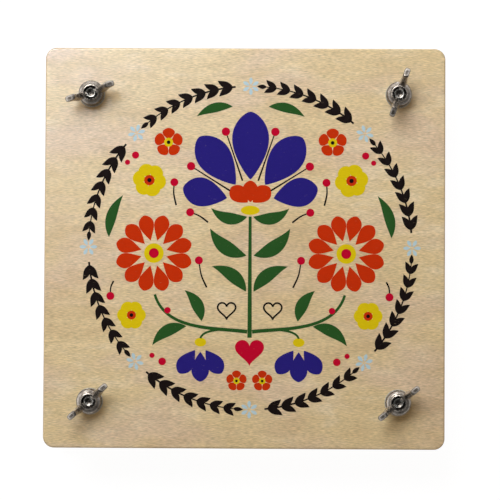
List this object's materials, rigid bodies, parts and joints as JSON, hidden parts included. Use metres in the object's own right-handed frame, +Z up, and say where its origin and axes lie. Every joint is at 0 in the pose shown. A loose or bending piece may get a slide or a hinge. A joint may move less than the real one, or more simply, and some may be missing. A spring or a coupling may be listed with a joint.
{
  "type": "flower press",
  "caption": "Square flower press of plywood boards that squeeze corrugated cards and blotting papers between them, drawn down by wing nuts on corner bolts.",
  "frame": {"origin": "middle of the flat underside of the bottom board", "axes": "+Z up through the boards, +Y towards the back edge, which is the top edge of the picture, +X towards the right edge"},
  "size_m": [0.2, 0.2, 0.0576],
  "materials": {
    "plywood": "sanded birch plywood, bare",
    "printed_plywood": "sanded birch plywood, satin, printed on top",
    "bolt_steel": "zinc plated, dull",
    "washer_steel": "zinc plated, dull",
    "cast_metal": "cast, tumbled, worn bright",
    "corrugated_card": "kraft brown, matt",
    "blotting_paper": "soft off-white, matt"
  },
  "bodies": {
    "base": {"bottom_board": "plywood", "carriage_bolt_back_left": "bolt_steel", "carriage_bolt_back_right": "bolt_steel", "carriage_bolt_front_left": "bolt_steel", "carriage_bolt_front_right": "bolt_steel"},
    "corrugated_card_1": {"corrugated_card_1": "corrugated_card"},
    "blotting_paper_1": {"blotting_paper_1": "blotting_paper"},
    "blotting_paper_2": {"blotting_paper_2": "blotting_paper"},
    "corrugated_card_2": {"corrugated_card_2": "corrugated_card"},
    "blotting_paper_3": {"blotting_paper_3": "blotting_paper"},
    "blotting_paper_4": {"blotting_paper_4": "blotting_paper"},
    "corrugated_card_3": {"corrugated_card_3": "corrugated_card"},
    "blotting_paper_5": {"blotting_paper_5": "blotting_paper"},
    "blotting_paper_6": {"blotting_paper_6": "blotting_paper"},
    "corrugated_card_4": {"corrugated_card_4": "corrugated_card"},
    "blotting_paper_7": {"blotting_paper_7": "blotting_paper"},
    "blotting_paper_8": {"blotting_paper_8": "blotting_paper"},
    "corrugated_card_5": {"corrugated_card_5": "corrugated_card"},
    "top_board": {"top_board": "printed_plywood"},
    "washer_back_left": {"washer_back_left": "washer_steel"},
    "wing_nut_back_left": {"wing_nut_back_left": "cast_metal"},
    "washer_back_right": {"washer_back_right": "washer_steel"},
    "wing_nut_back_right": {"wing_nut_back_right": "cast_metal"},
    "washer_front_left": {"washer_front_left": "washer_steel"},
    "wing_nut_front_left": {"wing_nut_front_left": "cast_metal"},
    "washer_front_right": {"washer_front_right": "washer_steel"},
    "wing_nut_front_right": {"wing_nut_front_right": "cast_metal"}
  },
  "joints": [
    {"name": "lift_corrugated_card_1", "type": "slide", "parent": "base", "child": "corrugated_card_1", "axis": [0, 0, 1], "range_m": [0, 0.042]},
    {"name": "lift_blotting_paper_1", "type": "slide", "parent": "corrugated_card_1", "child": "blotting_paper_1", "axis": [0, 0, 1], "range_m": [0, 0.039]},
    {"name": "lift_blotting_paper_2", "type": "slide", "parent": "blotting_paper_1", "child": "blotting_paper_2", "axis": [0, 0, 1], "range_m": [0, 0.038]},
    {"name": "lift_corrugated_card_2", "type": "slide", "parent": "blotting_paper_2", "child": "corrugated_card_2", "axis": [0, 0, 1], "range_m": [0, 0.037]},
    {"name": "lift_blotting_paper_3", "type": "slide", "parent": "corrugated_card_2", "child": "blotting_paper_3", "axis": [0, 0, 1], "range_m": [0, 0.034]},
    {"name": "lift_blotting_paper_4", "type": "slide", "parent": "blotting_paper_3", "child": "blotting_paper_4", "axis": [0, 0, 1], "range_m": [0, 0.033]},
    {"name": "lift_corrugated_card_3", "type": "slide", "parent": "blotting_paper_4", "child": "corrugated_card_3", "axis": [0, 0, 1], "range_m": [0, 0.032]},
    {"name": "lift_blotting_paper_5", "type": "slide", "parent": "corrugated_card_3", "child": "blotting_paper_5", "axis": [0, 0, 1], "range_m": [0, 0.029]},
    {"name": "lift_blotting_paper_6", "type": "slide", "parent": "blotting_paper_5", "child": "blotting_paper_6", "axis": [0, 0, 1], "range_m": [0, 0.028]},
    {"name": "lift_corrugated_card_4", "type": "slide", "parent": "blotting_paper_6", "child": "corrugated_card_4", "axis": [0, 0, 1], "range_m": [0, 0.027]},
    {"name": "lift_blotting_paper_7", "type": "slide", "parent": "corrugated_card_4", "child": "blotting_paper_7", "axis": [0, 0, 1], "range_m": [0, 0.024]},
    {"name": "lift_blotting_paper_8", "type": "slide", "parent": "blotting_paper_7", "child": "blotting_paper_8", "axis": [0, 0, 1], "range_m": [0, 0.023]},
    {"name": "lift_corrugated_card_5", "type": "slide", "parent": "blotting_paper_8", "child": "corrugated_card_5", "axis": [0, 0, 1], "range_m": [0, 0.022]},
    {"name": "lift_top_board", "type": "slide", "parent": "corrugated_card_5", "child": "top_board", "axis": [0, 0, 1], "range_m": [0, 0.019]},
    {"name": "turn_nut_back_left", "type": "hinge", "parent": "top_board", "child": "washer_back_left", "pos_m": [-0.0767, 0.0767, 0.041], "axis": [0, 0, 1], "range_deg": [0, 2520]},
    {"name": "rise_nut_back_left", "type": "slide", "parent": "washer_back_left", "child": "wing_nut_back_left", "axis": [0, 0, 1], "range_m": [0, 0.00701]},
    {"name": "turn_nut_back_right", "type": "hinge", "parent": "top_board", "child": "washer_back_right", "pos_m": [0.0767, 0.0767, 0.041], "axis": [0, 0, 1], "range_deg": [0, 2520]},
    {"name": "rise_nut_back_right", "type": "slide", "parent": "washer_back_right", "child": "wing_nut_back_right", "axis": [0, 0, 1], "range_m": [0, 0.00701]},
    {"name": "turn_nut_front_left", "type": "hinge", "parent": "top_board", "child": "washer_front_left", "pos_m": [-0.0767, -0.0767, 0.041], "axis": [0, 0, 1], "range_deg": [0, 2520]},
    {"name": "rise_nut_front_left", "type": "slide", "parent": "washer_front_left", "child": "wing_nut_front_left", "axis": [0, 0, 1], "range_m": [0, 0.00701]},
    {"name": "turn_nut_front_right", "type": "hinge", "parent": "top_board", "child": "washer_front_right", "pos_m": [0.0767, -0.0767, 0.041], "axis": [0, 0, 1], "range_deg": [0, 2520]},
    {"name": "rise_nut_front_right", "type": "slide", "parent": "washer_front_right", "child": "wing_nut_front_right", "axis": [0, 0, 1], "range_m": [0, 0.00701]}
  ],
  "couplings": [
    {"joint": "rise_nut_back_left", "follows": "turn_nut_back_left", "m_per_rad": 0.00015915},
    {"joint": "rise_nut_back_right", "follows": "turn_nut_back_right", "m_per_rad": 0.00015915},
    {"joint": "rise_nut_front_left", "follows": "turn_nut_front_left", "m_per_rad": 0.00015915},
    {"joint": "rise_nut_front_right", "follows": "turn_nut_front_right", "m_per_rad": 0.00015915}
  ]
}
